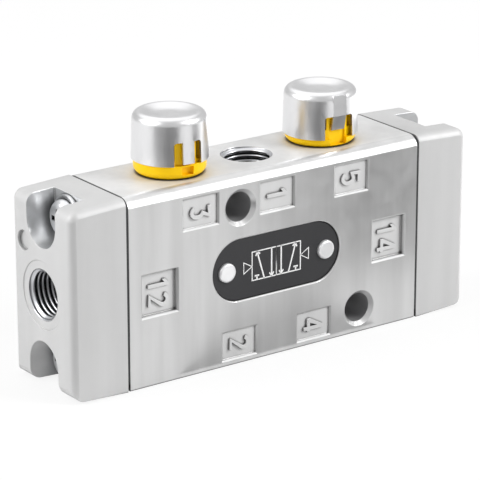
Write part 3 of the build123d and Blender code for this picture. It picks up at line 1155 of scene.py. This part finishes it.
def fan(
    start: float, end: float, near: float, far: float, middle: Point = (0.0, 0.0)
) -> list[Point]:
    """Gives the corners of a card that spans an angle seen from one point of the floor.

    Args:
        start: degrees to the right of straight in front.
        end: the same for its other side.
        near: millimetres from the point to the card's near edge.
        far: the same for its far edge.
        middle: the point, in millimetres from the valve's middle.

    Returns:
        Four corners on the floor, in millimetres.
    """
    first, last = math.radians(start), math.radians(end)
    edge = ((near, first), (near, last), (far, last), (far, first))
    across, along = middle
    return [(across + r * math.sin(turn), along - r * math.cos(turn)) for r, turn in edge]


LAMPS = (
    Lamp("left lamp", -105.0, 31.0, 1.1, 0.9, 9.5),
    Lamp("key lamp", 42.0, 34.0, 1.2, 0.6, 11.0),
    Lamp("back lamp", 160.0, 67.0, 1.3, 1.9, 6.4),
)
# The near card shades the front low in its middle, and the far card high on its right.
CARDS = (
    Card("left card", fan(-84.0, -50.0, 75.0, 600.0), "#8C8C8C"),
    Card("dark card", fan(-50.0, -12.0, 75.0, 600.0), "#484848"),
    Card("corner card", fan(-110.0, -15.0, 4.0, 85.0, (-61.0, -16.0)), "#303030"),
    Card("near card", [(-30.0, -14.0), (32.0, -14.0), (32.0, -46.0), (14.0, -46.0)], "#A6A6A6"),
    Card(
        "far card",
        [(35.0, -52.0), (95.0, -52.0), (150.0, -75.0), (290.0, -330.0), (210.0, -330.0)],
        "#080808",
    ),
    Card("white card", fan(70.0, 150.0, 90.0, 500.0), "#FFFFFF", 2.0),
)


@dataclass
class CameraAndLight:
    """The photograph's view, the floor and the soft lamps around the valve.

    Angles are in degrees. The camera's distance, aim, lens and film are in millimetres, and its
    limits of sight and the floor's width in metres. A glow is the share of the floor's light
    that is its own, as the camera or a mirroring metal sees it.
    """

    azimuth: float = -35.93
    elevation: float = 19.03
    distance: float = 730.7
    aim_height: float = 25.0
    lens: float = 213.6
    film_width: float = 36.0
    shift: Point = (-0.0129, 0.0148)
    sight: Point = (0.01, 50.0)
    floor_width: float = 8.0
    seen_glow: float = 0.85
    mirrored_glow: float = 0.6
    world_light: float = 0.25
    mirrored_light: float = 0.66

    def build(self) -> None:
        """Makes the camera, floor, cards, world and lamps."""
        self.make_camera()
        self.make_floor()
        for card in CARDS:
            card.build()
        self.make_world()
        for lamp in LAMPS:
            self.hang(lamp)

    def place(self, azimuth: float, elevation: float, distance: float) -> Matrix:
        """Gives the pose of something that looks at the valve.

        Args:
            azimuth: degrees to the right of straight in front.
            elevation: degrees above the level.
            distance: metres from the valve's middle.

        Returns:
            The pose, with its own -Z towards the valve.
        """
        turn, rise = math.radians(azimuth), math.radians(elevation)
        level = math.cos(rise)
        away = Vector((math.sin(turn) * level, -math.cos(turn) * level, math.sin(rise)))
        look = away.to_track_quat("Z", "Y").to_matrix().to_4x4()
        aim = Vector((0.0, 0.0, self.aim_height * MM))
        return Matrix.Translation(aim + away * distance) @ look

    def make_camera(self) -> None:
        """Makes the camera at the photograph's angle."""
        data = bpy.data.cameras.new("camera")
        data.lens = self.lens
        data.sensor_width = self.film_width
        data.shift_x, data.shift_y = self.shift
        data.clip_start, data.clip_end = self.sight
        camera = add_object("camera", data)
        camera.matrix_world = self.place(self.azimuth, self.elevation, self.distance * MM)
        bpy.context.scene.camera = camera

    def make_floor(self) -> None:
        """Lays the pale floor, which stays white to the camera but keeps a soft shadow."""
        half = self.floor_width / 2
        mesh = bpy.data.meshes.new("floor")
        around = ((-half, -half), (half, -half), (half, half), (-half, half))
        corners = [(x, y, 0.0) for x, y in around]
        mesh.from_pydata(corners, [], [(0, 1, 2, 3)])
        floor = add_object("floor", mesh)
        mesh.materials.append(self.floor_material())

    def floor_material(self) -> Material:
        """Makes plain white paper, which glows by itself for the camera and for metal.

        Returns:
            The material.
        """
        material = bpy.data.materials.new("white paper")
        material.cycles.emission_sampling = "NONE"
        tree = empty_tree(material)
        paper = add_node(tree, "ShaderNodeBsdfDiffuse", [linear("#F6F6F6")])
        glow = add_node(tree, "ShaderNodeEmission", [linear("#FFFFFF"), 1.0])
        rays = add_node(tree, "ShaderNodeLightPath").outputs
        seen = remap(tree, rays["Is Camera Ray"], (0.0, 1.0), (0.0, self.seen_glow))
        mirrored = remap(tree, rays["Is Glossy Ray"], (0.0, 1.0), (0.0, self.mirrored_glow))
        share = add_node(tree, "ShaderNodeMath", [seen, mirrored], operation="ADD")
        shaders = [share.outputs[0], paper.outputs[0], glow.outputs[0]]
        mix = add_node(tree, "ShaderNodeMixShader", shaders)
        add_node(tree, "ShaderNodeOutputMaterial", [mix.outputs[0]])
        return material

    def make_world(self) -> None:
        """Fills the room with even white light, dim on matt surfaces and brighter in metal."""
        world = bpy.data.worlds.new("room")
        bpy.context.scene.world = world
        tree = empty_tree(world)
        rays = add_node(tree, "ShaderNodeLightPath").outputs
        seen = remap(tree, rays["Is Camera Ray"], (0.0, 1.0), (self.world_light, 1.0))
        strength = remap(tree, rays["Is Glossy Ray"], (0.0, 1.0), (seen, self.mirrored_light))
        white = add_node(tree, "ShaderNodeBackground", [linear("#FFFFFF"), strength])
        add_node(tree, "ShaderNodeOutputWorld", [white.outputs[0]])

    def hang(self, lamp: Lamp) -> None:
        """Hangs one lamp, turned to the valve.

        Args:
            lamp: the lamp.
        """
        data = bpy.data.lights.new(lamp.name, "AREA")
        data.shape = "DISK"
        data.size = lamp.width
        data.energy = lamp.power
        hung = add_object(lamp.name, data)
        hung.matrix_world = self.place(lamp.azimuth, lamp.elevation, lamp.distance)


def main() -> None:
    """Builds the room and the valve."""
    logging.basicConfig(level=logging.INFO, format="%(name)s: %(message)s")
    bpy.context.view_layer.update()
    scene = bpy.context.scene
    scene.view_settings.view_transform = "Standard"
    CameraAndLight().build()
    Valve().build()


if __name__ == "__main__":
    main()
